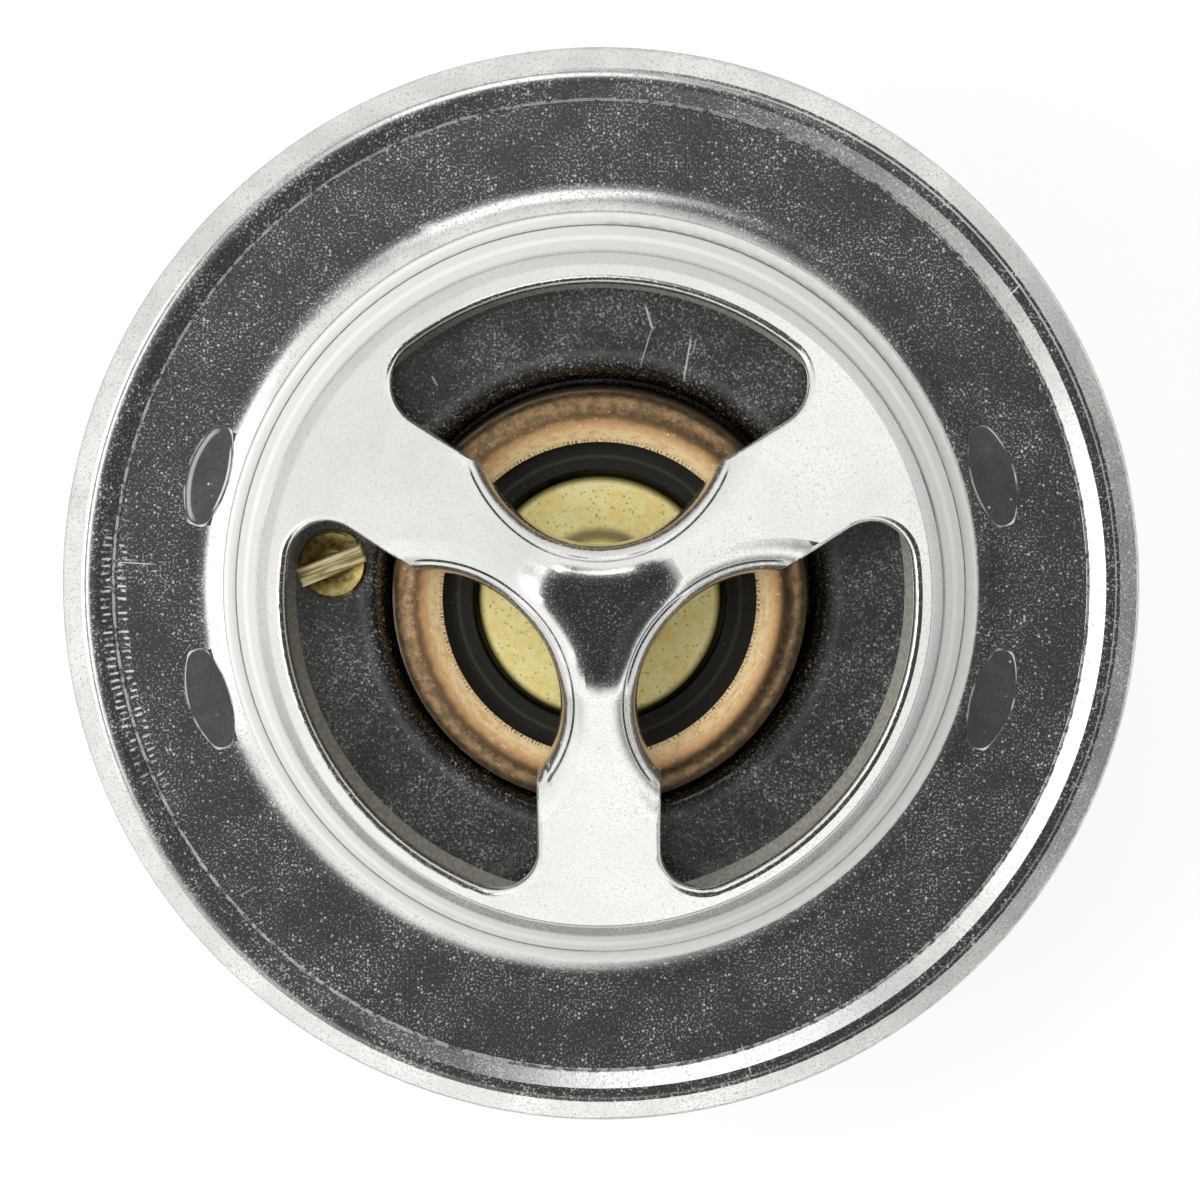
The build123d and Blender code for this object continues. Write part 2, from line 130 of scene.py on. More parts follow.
opening_tilt = math.radians(18)
opening_turn = math.radians(-28)
opening_inner = math.radians(37)
opening_outer = math.radians(51)
opening_light = 0.06
opening_axis = Vector((
    math.sin(opening_tilt) * math.cos(opening_turn),
    math.sin(opening_tilt) * math.sin(opening_turn),
    math.cos(opening_tilt),
))
tent_light = 1.52
tent_colour = (1, 1, 0.985, 1)
bright_side = Vector((0.7, -0.7, 0)).normalized()
side_share = 0.2
dark_turn = math.radians(-50)
dark_side = Vector((math.cos(dark_turn), math.sin(dark_turn), 0))
dark_share = 0.85
dark_reach = 0.6
dark_top = 0.35
dark_bottom = 0.05
backdrop_light = 1.0
backdrop_colour = (1, 1, 1, 1)
studio = bpy.data.worlds.new("studio")
bpy.context.scene.world = studio
studio.use_nodes = True
tree = studio.node_tree
tree.nodes.clear()
direction = add_node(tree, "ShaderNodeTexCoord").outputs["Generated"]
from_opening = calculate(tree, "ARCCOSINE", facing(tree, direction, opening_axis))
to_side = facing(tree, direction, bright_side)
to_dark = facing(tree, direction, dark_side)
height = add_node(tree, "ShaderNodeSeparateXYZ", {0: direction}).outputs[2]
darkness = calculate(
    tree,
    "MULTIPLY",
    ramp(tree, to_dark, 0.0, dark_reach),
    ramp(tree, height, dark_top, dark_bottom),
)
tent_level = calculate(
    tree,
    "MULTIPLY",
    calculate(tree, "MULTIPLY_ADD", to_side, side_share * tent_light, tent_light),
    calculate(tree, "MULTIPLY_ADD", darkness, -dark_share, 1.0),
)
light_level = ramp(tree, from_opening, opening_inner, opening_outer, opening_light, tent_level)
tent = add_node(tree, "ShaderNodeBackground", {"Color": tent_colour, "Strength": light_level})
backdrop = add_node(
    tree, "ShaderNodeBackground", {"Color": backdrop_colour, "Strength": backdrop_light}
)
seen = add_node(tree, "ShaderNodeLightPath").outputs["Is Camera Ray"]
world_light = add_node(
    tree, "ShaderNodeMixShader", {0: seen, 1: tent.outputs[0], 2: backdrop.outputs[0]}
)
add_node(tree, "ShaderNodeOutputWorld", {0: world_light.outputs[0]})

# Each lamp has its turn round the object, its tilt from overhead, its width and its power in watts.
lamp_distance = 0.6
lamp_behind = (math.radians(105), math.radians(20), 0.16, 0.22)
lamp_left = (math.radians(182), math.radians(36), 0.3, 0.55)
for lamp_turn, lamp_tilt, lamp_size, lamp_power in (lamp_behind, lamp_left):
    lamp = bpy.data.objects.new("lamp", bpy.data.lights.new("lamp", "AREA"))
    lamp.data.size = lamp_size
    lamp.data.energy = lamp_power
    lamp.location = Matrix.Rotation(lamp_turn, 3, "Z") @ Vector(
        (lamp_distance * math.sin(lamp_tilt), 0, lamp_distance * math.cos(lamp_tilt))
    )
    lamp.rotation_euler = lamp.location.to_track_quat("Z", "Y").to_euler()
    bpy.context.scene.collection.objects.link(lamp)

# Floor: a white sheet under the frame's base. It glows a little to the camera and in reflections,
# so that it reads as white and still keeps a soft shadow.
floor_half = 1.5
floor_gap = 0.00002
floor_height = cad_low.z - floor_gap
floor_colour = (0.86, 0.86, 0.85, 1)
floor_glow = 0.68
floor_seen_colour = (0.45, 0.45, 0.45, 1)
floor_mesh = bpy.data.meshes.new("floor")
floor_corners = [
    (x * floor_half, y * floor_half, floor_height) for x, y in ((-1, -1), (1, -1), (1, 1), (-1, 1))
]
floor_mesh.from_pydata(floor_corners, [], [(0, 1, 2, 3)])
floor = bpy.data.objects.new("floor", floor_mesh)
bpy.context.scene.collection.objects.link(floor)
floor_white = bpy.data.materials.new("floor_white")
floor_white.use_nodes = True
tree = floor_white.node_tree
tree.nodes.clear()
path = add_node(tree, "ShaderNodeLightPath").outputs
looked_at = calculate(
    tree,
    "MAXIMUM",
    path["Is Camera Ray"],
    calculate(tree, "MAXIMUM", path["Is Glossy Ray"], path["Is Transmission Ray"]),
)
plain = add_node(tree, "ShaderNodeBsdfDiffuse", {"Color": floor_colour})
shaded = add_node(tree, "ShaderNodeBsdfDiffuse", {"Color": floor_seen_colour})
glow = add_node(tree, "ShaderNodeEmission", {"Strength": floor_glow})
lit = add_node(tree, "ShaderNodeAddShader", {0: shaded.outputs[0], 1: glow.outputs[0]})
sheet = add_node(
    tree, "ShaderNodeMixShader", {0: looked_at, 1: plain.outputs[0], 2: lit.outputs[0]}
)
add_node(tree, "ShaderNodeOutputMaterial", {0: sheet.outputs[0]})
floor_mesh.materials.append(floor_white)

# Flange: pressed from 1.2 mm steel with its rim rolled down and a drawn collar, tumbled bare. The
# tumbled grain's glints are painted as bright specks. The rim's crease is knocked on the left and
# carries painted shade, broken in places, with a painted highlight in short bright ticks on the
# left;
# the outlines of the staked tab heads and the top of the collar carry painted highlights.


def new_material(name):
    """An empty node material: its tree, its Principled shader and the object's coordinates."""
    material = bpy.data.materials.new(name)
    material.use_nodes = True
    tree = material.node_tree
    tree.nodes.clear()
    shader = add_node(tree, "ShaderNodeBsdfPrincipled")
    add_node(tree, "ShaderNodeOutputMaterial", {0: shader.outputs[0]})
    return material, tree, shader, add_node(tree, "ShaderNodeTexCoord").outputs["Object"]


def noise(tree, place, size, detail=2.0, roughness=0.5):
    """Noise with features of about the given size in metres."""
    return add_node(
        tree,
        "ShaderNodeTexNoise",
        {"Vector": place, "Scale": 1 / size, "Detail": detail, "Roughness": roughness},
    ).outputs[0]


def blend_colour(tree, share, first, second):
    """A colour between two, by a share from 0 to 1; each is a colour or a socket."""
    return add_node(
        tree, "ShaderNodeMix", {0: share, 6: first, 7: second}, data_type="RGBA"
    ).outputs[2]


def bumped(tree, relief, depth, **inputs):
    """The normal of a surface that is raised by a relief times a depth in metres."""
    return add_node(
        tree, "ShaderNodeBump", {"Height": relief, "Strength": 1.0, "Distance": depth, **inputs}
    ).outputs[0]


def length_of(tree, x, y):
    """Length of a flat vector."""
    flat = add_node(tree, "ShaderNodeCombineXYZ", {0: x, 1: y}).outputs[0]
    return add_node(tree, "ShaderNodeVectorMath", {0: flat}, operation="LENGTH").outputs["Value"]


def polar(tree, place):
    """Distance from the thermostat's axis, angle round it, and height."""
    x, y, z = add_node(tree, "ShaderNodeSeparateXYZ", {0: place}).outputs
    return length_of(tree, x, y), calculate(tree, "ARCTAN2", y, x), z


def most(tree, *values):
    """The largest of several values."""
    largest = values[0]
    for value in values[1:]:
        largest = calculate(tree, "MAXIMUM", largest, value)
    return largest


def all_of(tree, *values):
    """The product of several values: 1 only where each of them is 1."""
    product = values[0]
    for value in values[1:]:
        product = calculate(tree, "MULTIPLY", product, value)
    return product


def band(tree, value, low, high, soft):
    """1 from low to high and 0 elsewhere, with soft ends."""
    return all_of(
        tree,
        ramp(tree, value, low - soft, low + soft),
        ramp(tree, value, high + soft, high - soft),
    )


def specks(tree, place, size, share):
    """Small round specks, one in some of the cells of a given size."""
    cells = add_node(
        tree, "ShaderNodeTexVoronoi", {"Vector": place, "Scale": 1 / size, "Randomness": 1.0}
    ).outputs
    lot = add_node(tree, "ShaderNodeSeparateColor", {0: cells["Color"]}).outputs[0]
    return all_of(tree, ramp(tree, cells["Distance"], 0.5, 0.2), ramp(tree, lot, 1 - share, 1))


millimetre = 0.001
line_fade = 0.15


def line_marks(tree, place, *lines):
    """1 along straight marks, seen from above. Each line has a start and an end in millimetres, and
    a half width and a soft edge in metres."""
    x, y = add_node(tree, "ShaderNodeSeparateXYZ", {0: place}).outputs[:2]
    marks = []
    for start, end, half_width, soft in lines:
        run = Vector(end) - Vector(start)
        length = run.length * millimetre
        along = run.normalized()
        from_x = calculate(tree, "SUBTRACT", x, start[0] * millimetre)
        from_y = calculate(tree, "SUBTRACT", y, start[1] * millimetre)
        travel = calculate(
            tree, "MULTIPLY_ADD", from_x, along.x, calculate(tree, "MULTIPLY", from_y, along.y)
        )
        across = calculate(
            tree, "MULTIPLY_ADD", from_x, -along.y, calculate(tree, "MULTIPLY", from_y, along.x)
        )
        marks.append(all_of(
            tree,
            band(tree, across, -half_width, half_width, soft),
            band(tree, travel, 0.0, length, max(soft, length * line_fade)),
        ))
    return most(tree, *marks)


polished_and_lit = (0.86, 0.86, 0.845, 1)
painted_shade_colour = (0.1, 0.1, 0.095, 1)
mark_roughness = 0.62
mark_metallic = 0.25
clump_size = 0.003
grain_size = 0.00014
fleck_size = 0.00011
speck_size = 0.00018


def tumbled_steel(
    name, pale, dull, pit, mark_and_glint, smooth, grain_depth, speck_share=0.22, fleck_strength=0.5
):
    """Bare steel after tumbling: its tree, its coordinates, and a call that adds marks to it."""
    material, tree, shader, place = new_material(name)
    grain = noise(tree, place, grain_size, roughness=0.65)
    clumps = noise(tree, place, clump_size, detail=3.0, roughness=0.6)
    ground = blend_colour(tree, ramp(tree, clumps, 0.35, 0.65), dull, pale)
    pitted = blend_colour(tree, ramp(tree, grain, 0.47, 0.34), ground, pit)
    crowd = ramp(tree, clumps, 0.3, 0.7, 0.5, 1.0)
    # The bright specks and flecks are painted glints of the tumbled grain.
    glint_dots = all_of(tree, specks(tree, place, speck_size, speck_share), crowd)
    flecks = noise(tree, place, fleck_size, detail=1.0)
    glint_streaks = all_of(tree, ramp(tree, flecks, 0.48, 0.7, 0.0, fleck_strength), crowd)

    def finish(*marks, shape=None, polish_and_highlight=None, painted_shade=None, shade_colour=painted_shade_colour):
        """Marks are bright and matt and polish brighter still, for wear and for painted highlights;
        the painted shade is dark; shape is in metres.
        """
        under = {"Normal": bumped(tree, shape, 1.0)} if shape else {}
        skin = blend_colour(tree, painted_shade, pitted, shade_colour) if painted_shade else pitted
        bright = most(tree, glint_dots, glint_streaks, *marks)
        skin = blend_colour(tree, bright, skin, mark_and_glint)
        if polish_and_highlight:
            skin = blend_colour(tree, polish_and_highlight, skin, polished_and_lit)
            bright = most(tree, bright, polish_and_highlight)
        set_inputs(tree, shader, {
            "Base Color": skin,
            "Roughness": ramp(tree, bright, 0.0, 1.0, smooth, mark_roughness),
            "Metallic": ramp(tree, bright, 0.0, 1.0, 1.0, mark_metallic),
            "Normal": bumped(tree, grain, grain_depth, **under),
        })
        return material

    return tree, place, finish


def wear(node, material):
    """Gives a CAD node its finish."""
    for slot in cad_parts[node].material_slots:
        slot.material = material


tab_angle = math.radians(16)
tab_ring = 0.02035
head_half = 0.0026
head_corner = 0.0007
head_outer = 0.00115
head_outer_bow = 0.00073
head_inner = 0.001
head_inner_bow = 0.00058


def head_edge(tree, place):
    """Distance from the outline of the nearest staked tab's head: below 0 inside it."""
    quarter = add_node(tree, "ShaderNodeVectorMath", {0: place}, operation="ABSOLUTE").outputs[0]
    x, y = add_node(tree, "ShaderNodeSeparateXYZ", {0: quarter}).outputs[:2]
    outwards = calculate(
        tree,
        "MULTIPLY_ADD",
        x,
        math.cos(tab_angle),
        calculate(tree, "MULTIPLY_ADD", y, math.sin(tab_angle), -tab_ring),
    )
    sideways = calculate(
        tree,
        "MULTIPLY_ADD",
        x,
        -math.sin(tab_angle),
        calculate(tree, "MULTIPLY", y, math.cos(tab_angle)),
    )
    bow = calculate(tree, "POWER", calculate(tree, "DIVIDE", sideways, head_half), 2.0)
    outer_bow = calculate(tree, "MULTIPLY_ADD", bow, head_outer_bow, -head_outer)
    inner_bow = calculate(tree, "MULTIPLY_ADD", bow, head_inner_bow, -head_inner)
    sides = calculate(
        tree,
        "MAXIMUM",
        calculate(tree, "ADD", outwards, outer_bow),
        calculate(tree, "SUBTRACT", inner_bow, outwards),
    )
    ends = calculate(tree, "SUBTRACT", calculate(tree, "ABSOLUTE", sideways), head_half)
    return calculate(tree, "SMOOTH_MAX", sides, ends, head_corner)


def edge_highlight_share(tree, place):
    """How strong a painted highlight along an edge is: it changes from place to place."""
    return ramp(tree, noise(tree, place, 0.0012), 0.4, 0.62, 0.15, 1.0)


tree, place, finish = tumbled_steel(
    "flange_steel",
    pale=(0.62, 0.625, 0.61, 1),
    dull=(0.52, 0.525, 0.515, 1),
    pit=(0.42, 0.42, 0.41, 1),
    mark_and_glint=(0.66, 0.66, 0.645, 1),
    smooth=0.2,
    grain_depth=0.0000022,
)
distance, angle, height = polar(tree, place)
# Painted highlight along the outlines of the staked tab heads.
head_outline_highlight = all_of(
    tree,
    band(tree, head_edge(tree, place), -0.00001, 0.00004, 0.00002),
    edge_highlight_share(tree, place),
)

tick_pitch = 0.0142
tick_wander = 14.0
tick_turns = (math.radians(-190), math.radians(-156))
tick_turn_soft = math.radians(8)
tick_seam = (math.radians(166), math.radians(179))
tick_row_inner = (0.02378, 0.02422)
tick_row_outer = (0.02456, 0.02505)
tick_row_soft = 0.00007
crease_radius = 0.0244
crease_ring = (0.0243, 0.02452)
crease_soft = 0.00003
collar_ring = (0.0181, 0.0190)
collar_soft = 0.0001
collar_height = (0.0008, 0.0011)
tick_wave = calculate(
    tree,
    "SINE",
    calculate(
        tree,
        "MULTIPLY_ADD",
        noise(tree, place, 0.003, detail=1.0),
        tick_wander,
        calculate(tree, "MULTIPLY", angle, 2 * math.pi / tick_pitch),
    ),
)
unrolled = add_node(
    tree,
    "ShaderNodeCombineXYZ",
    {0: calculate(tree, "MULTIPLY", angle, crease_radius), 1: distance},
).outputs[0]
tick_side = most(
    tree,
    band(tree, angle, *tick_turns, tick_turn_soft),
    ramp(tree, calculate(tree, "ABSOLUTE", angle), *tick_seam),
)
tick_rows = most(
    tree,
    band(tree, distance, *tick_row_inner, tick_row_soft),
    band(tree, distance, *tick_row_outer, tick_row_soft),
)
# Painted highlight in short bright ticks along the crease's left side.
tick_highlights = all_of(
    tree,
    ramp(tree, tick_wave, 0.0, 0.9),
    ramp(tree, noise(tree, unrolled, 0.0005), 0.36, 0.62, 0.0, 0.9),
    tick_side,
    tick_rows,
)
# Painted shade along the rim's crease, broken in places.
crease_shade = all_of(
    tree,
    ramp(tree, noise(tree, place, 0.0005, roughness=0.7), 0.4, 0.52, 0.95, 0.1),
    band(tree, distance, *crease_ring, crease_soft),
)
knocks = line_marks(
    tree,
    place,
    ((-24.15, 1.26), (-22.45, 1.17), 0.00002, 0.00003),
    ((-23.95, 1.40), (-23.2, 1.36), 0.00001, 0.00003),
    ((20.3, 14.6), (20.9, 15.2), 0.00003, 0.00003),
    ((7.1, -23.1), (7.6, -24.6), 0.00002, 0.00003),
    ((8.4, -22.9), (8.7, -23.9), 0.00001, 0.00003),
    ((-18.2, -15.6), (-17.3, -15.1), 0.00001, 0.00003),
)
# Painted highlight on the top of the flange's collar.
collar_highlight = all_of(
    tree, band(tree, distance, *collar_ring, collar_soft), ramp(tree, height, *collar_height)
)

crest_start = 0.02562
crest_end = 0.026
crest_round = 0.0003
crest_fall = 0.25
crest = calculate(
    tree, "MINIMUM", calculate(tree, "SMOOTH_MAX", distance, crest_start, crest_round), crest_end
)
wear("flange", finish(
    head_outline_highlight,
    shape=calculate(tree, "MULTIPLY", crest, -crest_fall),
    polish_and_highlight=most(tree, collar_highlight, tick_highlights, knocks),
    painted_shade=crease_shade,
))

# Bridge: domed stamping of brighter steel with three windows, pressed up into the flange's collar.
# Its shoulder carries a painted highlight and the flat of its hub is painted darker as painted
# shade. A shallow fold runs along the lips that are turned down at the windows' inner bays, and the
# legs have a few soft dents.
tree, place, finish = tumbled_steel(
    "bridge_steel",
    pale=(0.63, 0.63, 0.615, 1),
    dull=(0.59, 0.59, 0.58, 1),
    pit=(0.54, 0.54, 0.53, 1),
    mark_and_glint=(0.66, 0.66, 0.64, 1),
    smooth=0.2,
    grain_depth=0.0000025,
    speck_share=0.02,
    fleck_strength=0.4,
)
distance, angle, height = polar(tree, place)
shoulder_ring = (0.0171, 0.0184)
shoulder_soft = 0.00012
shoulder_height = (0.0004, 0.0008)
# Painted highlight on the shoulder.
shoulder_highlight = all_of(
    tree,
    band(tree, distance, *shoulder_ring, shoulder_soft),
    ramp(tree, height, *shoulder_height, 0.0, 0.8),
)

first_bay_turn = math.radians(90)
half_bay_share = math.radians(60)
bay_centre = 0.0093
bay_radius = 0.0062
lip_reach = 0.0097
fold_place = 0.00058
fold_half = 0.00008
fold_depth = 0.00007
fold_fade = 0.0012
dent_depth = 0.00009
hub_flat = (0.0014, 0.0019)
hub_reach = (0.0044, 0.0036)
bay_angle = calculate(
    tree,
    "WRAP",
    calculate(tree, "SUBTRACT", angle, first_bay_turn),
    half_bay_share,
    -half_bay_share,
)
bay_x = calculate(
    tree, "MULTIPLY_ADD", distance, calculate(tree, "COSINE", bay_angle), -bay_centre
)
bay_y = calculate(tree, "MULTIPLY", distance, calculate(tree, "SINE", bay_angle))
from_bay = calculate(tree, "SUBTRACT", length_of(tree, bay_x, bay_y), bay_radius)
fold_line = all_of(
    tree,
    band(tree, from_bay, fold_place - fold_half, fold_place + fold_half, fold_half),
    ramp(tree, distance, lip_reach, lip_reach - fold_fade, 0.0, -fold_depth),
)
dents = line_marks(
    tree,
    place,
    ((-8.55, 7.2), (-7.8, 5.2), 0.00008, 0.0003),
    ((5.8, 5.9), (6.15, 5.1), 0.00006, 0.0002),
    ((-2.55, -7.8), (-2.5, -8.9), 0.00006, 0.0002),
)
# Painted shade: the flat of the hub is painted darker.
hub_shade = all_of(
    tree,
    ramp(tree, from_bay, *hub_flat),
    ramp(tree, distance, *hub_reach, 0.0, 0.5),
)
wear("bridge", finish(
    polish_and_highlight=shoulder_highlight,
    shape=calculate(tree, "MULTIPLY_ADD", dents, -dent_depth, fold_line),
    painted_shade=hub_shade,
))

# Frame: drawn steel cup cut into two straps and a base ring. Its four tabs come up through the
# flange and are staked over flat. The outlines of their heads carry a painted highlight, and on one
# head painted highlights stand for a pressed facet and its edge catching the light.
tree, place, finish = tumbled_steel(
    "frame_steel",
    pale=(0.60, 0.605, 0.60, 1),
    dull=(0.46, 0.465, 0.46, 1),
    pit=(0.36, 0.36, 0.36, 1),
    mark_and_glint=(0.80, 0.80, 0.78, 1),
    smooth=0.24,
    grain_depth=0.000002,
    speck_share=0.02,
    fleck_strength=0.12,
)
rim_edge = (-0.00007, -0.00001)
facet_edge = (-0.00034, -0.00012)
facet_reach = (0.0204, 0.0209)
crescent_edge = (-0.0002, -0.0001)
crescent_reach = (0.0199, 0.0196)
tab_height = (-0.001, -0.0005)
corner_soft = 0.001
distance = polar(tree, place)[0]
x, y, height = add_node(tree, "ShaderNodeSeparateXYZ", {0: place}).outputs
from_edge = head_edge(tree, place)
# Painted highlight along the rims of the tab heads.
head_rim_highlight = all_of(
    tree,
    ramp(tree, from_edge, *rim_edge),
    edge_highlight_share(tree, place),
    ramp(tree, height, *tab_height),
)
smudge = ramp(tree, noise(tree, place, 0.0009, detail=3.0, roughness=0.6), 0.45, 0.7, 0.0, 0.1)
upper_left = all_of(tree, ramp(tree, x, 0.0, -corner_soft), ramp(tree, y, 0.0, corner_soft))
# Painted highlight on the upper-left head, standing for a pressed facet catching the light.
facet_highlight = all_of(
    tree,
    band(tree, from_edge, *facet_edge, 0.00007),
    upper_left,
    ramp(tree, distance, *facet_reach, 0.0, 0.5),
)
# Painted highlight along that head's edge.
crescent_highlight = all_of(
    tree,
    band(tree, from_edge, *crescent_edge, 0.00003),
    upper_left,
    ramp(tree, distance, *crescent_reach),
)
wear("frame", finish(head_rim_highlight, smudge, facet_highlight, polish_and_highlight=crescent_highlight))

# Coil spring: oiled spring wire wound on a slight cone, with closed end turns that are ground flat.
# It stands on the frame's base.
spring_wire = 0.0009
spring_top_radius = 0.00975
spring_base_radius = 0.0105
spring_open_turns = 4.0
spring_end_turns = 0.9
spring_ground = 0.0003
spring_gap = 0.00008
spring_pitch_ease = 0.6
spring_points_per_turn = 48
spring_wire_sides = 24
spring_flat = 0.999
spring_low, spring_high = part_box("spring")

spring_tree = bpy.data.node_groups.new("coil_spring", "GeometryNodeTree")
spring_tree.interface.new_socket("Geometry", in_out="INPUT", socket_type="NodeSocketGeometry")
spring_tree.interface.new_socket("Geometry", in_out="OUTPUT", socket_type="NodeSocketGeometry")
spring_sizes = {
    "Wire radius": spring_wire,
    "Base radius": spring_base_radius,
    "Top radius": spring_top_radius,
    "Base height": spring_low.z,
    "Top height": spring_high.z,
    "Open turns": spring_open_turns,
    "End turns": spring_end_turns,
    "Ground offset": spring_ground,
    "Coil gap": spring_gap,
    "Pitch ease": spring_pitch_ease,
}
spring_sockets = {
    name: spring_tree.interface.new_socket(
        name, in_out="INPUT", socket_type="NodeSocketFloat"
    ).identifier
    for name in spring_sizes
}
size_of = add_node(spring_tree, "NodeGroupInput").outputs
turn_count = calculate(
    spring_tree, "MULTIPLY_ADD", size_of["End turns"], 2.0, size_of["Open turns"]
)
point_count = calculate(spring_tree, "MULTIPLY", turn_count, spring_points_per_turn)
straight = add_node(spring_tree, "GeometryNodeCurvePrimitiveLine").outputs[0]
wire_line = add_node(
    spring_tree, "GeometryNodeResampleCurve", {"Curve": straight, "Count": point_count}
).outputs[0]
share = add_node(spring_tree, "GeometryNodeSplineParameter").outputs["Factor"]
turns = calculate(spring_tree, "MULTIPLY", share, turn_count)
open_turns = calculate(spring_tree, "SUBTRACT", turns, size_of["End turns"])
open_share = calculate(spring_tree, "DIVIDE", open_turns, size_of["Open turns"], clamp=True)
wave = calculate(spring_tree, "SINE", calculate(spring_tree, "MULTIPLY", open_share, 2 * math.pi))
easing = calculate(spring_tree, "MULTIPLY", wave, size_of["Pitch ease"])
eased_share = calculate(spring_tree, "MULTIPLY_ADD", easing, -1 / (2 * math.pi), open_share)
closed_pitch = calculate(
    spring_tree, "MULTIPLY_ADD", size_of["Wire radius"], 2.0, size_of["Coil gap"]
)
closed_rise = calculate(spring_tree, "MULTIPLY", closed_pitch, turn_count)
full_height = calculate(spring_tree, "SUBTRACT", size_of["Top height"], size_of["Base height"])
wire_span = calculate(spring_tree, "MULTIPLY_ADD", size_of["Ground offset"], -2.0, full_height)
open_rise = calculate(spring_tree, "SUBTRACT", wire_span, closed_rise)
rise = calculate(
    spring_tree,
    "MULTIPLY_ADD",
    open_rise,
    eased_share,
    calculate(spring_tree, "MULTIPLY", closed_rise, share),
)
wire_start = calculate(spring_tree, "ADD", size_of["Base height"], size_of["Ground offset"])
wire_height = calculate(spring_tree, "ADD", wire_start, rise)
cone = calculate(spring_tree, "SUBTRACT", size_of["Top radius"], size_of["Base radius"])
coil_radius = calculate(spring_tree, "MULTIPLY_ADD", cone, share, size_of["Base radius"])
coil_angle = calculate(spring_tree, "MULTIPLY", turns, 2 * math.pi)
coil_x, coil_y = (
    calculate(spring_tree, "MULTIPLY", coil_radius, calculate(spring_tree, part, coil_angle))
    for part in ("COSINE", "SINE")
)
wire_place = add_node(
    spring_tree, "ShaderNodeCombineXYZ", {0: coil_x, 1: coil_y, 2: wire_height}
).outputs[0]
wound = add_node(
    spring_tree, "GeometryNodeSetPosition", {"Geometry": wire_line, "Position": wire_place}
).outputs[0]
wire_section = add_node(
    spring_tree,
    "GeometryNodeCurvePrimitiveCircle",
    {"Resolution": spring_wire_sides, "Radius": size_of["Wire radius"]},
).outputs[0]
wire = add_node(
    spring_tree,
    "GeometryNodeCurveToMesh",
    {"Curve": wound, "Profile Curve": wire_section, "Fill Caps": True},
).outputs[0]
wire_surface = add_node(spring_tree, "GeometryNodeInputPosition").outputs[0]
wire_x, wire_y, wire_z = add_node(
    spring_tree, "ShaderNodeSeparateXYZ", {0: wire_surface}
).outputs
ground_height = calculate(
    spring_tree,
    "MINIMUM",
    calculate(spring_tree, "MAXIMUM", wire_z, size_of["Base height"]),
    size_of["Top height"],
)
ground_place = add_node(
    spring_tree, "ShaderNodeCombineXYZ", {0: wire_x, 1: wire_y, 2: ground_height}
).outputs[0]
ground = add_node(
    spring_tree, "GeometryNodeSetPosition", {"Geometry": wire, "Position": ground_place}
).outputs[0]
finish = tumbled_steel(
    "spring_steel",
    pale=(0.46, 0.465, 0.47, 1),
    dull=(0.34, 0.34, 0.345, 1),
    pit=(0.26, 0.26, 0.26, 1),
    mark_and_glint=(0.62, 0.62, 0.61, 1),
    smooth=0.26,
    grain_depth=0.000003,
    speck_share=0.05,
)[-1]
spring_steel = finish()
realised = add_node(spring_tree, "GeometryNodeRealizeInstances", {0: ground}).outputs[0]
finished = add_node(
    spring_tree, "GeometryNodeSetMaterial", {"Geometry": realised, "Material": spring_steel}
).outputs[0]
add_node(spring_tree, "NodeGroupOutput", {0: finished})

spring = bpy.data.objects.new("coil_spring", bpy.data.meshes.new("coil_spring"))
bpy.context.scene.collection.objects.link(spring)
winding = spring.modifiers.new("winding", "NODES")
winding.node_group = spring_tree
for name, value in spring_sizes.items():
    winding[spring_sockets[name]] = value
wound_spring = spring.evaluated_get(bpy.context.evaluated_depsgraph_get())
wound_mesh = bpy.data.meshes.new_from_object(wound_spring)
spring.modifiers.remove(winding)
spring.data = wound_mesh
for polygon in wound_mesh.polygons:
    polygon.use_smooth = abs(polygon.normal.z) < spring_flat
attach(spring, "housing")
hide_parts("spring")
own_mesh(spring)

# Piston: ground steel pin that stands under the hub and runs down into the wax element.
finish = tumbled_steel(
    "piston_steel",
    pale=(0.64, 0.64, 0.63, 1),
    dull=(0.60, 0.60, 0.59, 1),
    pit=(0.50, 0.50, 0.49, 1),
    mark_and_glint=(0.75, 0.75, 0.74, 1),
    smooth=0.14,
    grain_depth=0.000001,
    speck_share=0.03,
)[-1]
wear("piston", finish())

# Valve plate: pressed steel disc, tumbled darker than the flange. A painted highlight lies along
# its fold, painted shade darkens it round the wax cup, and it has a few scratches.
tree, place, finish = tumbled_steel(
    "plate_steel",
    pale=(0.50, 0.505, 0.50, 1),
    dull=(0.36, 0.365, 0.36, 1),
    pit=(0.20, 0.20, 0.20, 1),
    mark_and_glint=(0.62, 0.62, 0.60, 1),
    smooth=0.22,
    grain_depth=0.0000022,
    speck_share=0.2,
)
fold_ring = (0.0118, 0.0120)
fold_soft = 0.0003
fold_share = 0.34
cup_shade_reach = (0.0117, 0.0112)
cup_shade_share = 0.85
cup_shade_colour = (0.03, 0.028, 0.025, 1)
distance = polar(tree, place)[0]
# Painted highlight along the plate's fold.
fold_highlight = calculate(
    tree, "MULTIPLY", band(tree, distance, *fold_ring, fold_soft), fold_share
)
# Painted shade round the wax cup.
cup_shade = ramp(tree, distance, *cup_shade_reach, 0.0, cup_shade_share)
scratches = line_marks(
    tree,
    place,
    ((2.25, 14.25), (2.6, 13.1), 0.00005, 0.00004),
    ((2.55, 13.1), (2.0, 11.3), 0.00002, 0.00004),
    ((4.5, 12.65), (4.15, 10.6), 0.00004, 0.00004),
    ((4.75, 12.6), (4.6, 11.9), 0.00002, 0.00004),
    ((-8.35, 10.75), (-8.1, 10.3), 0.00004, 0.00004),
)
wear("valve_plate", finish(fold_highlight, polish_and_highlight=scratches, painted_shade=cup_shade, shade_colour=cup_shade_colour))

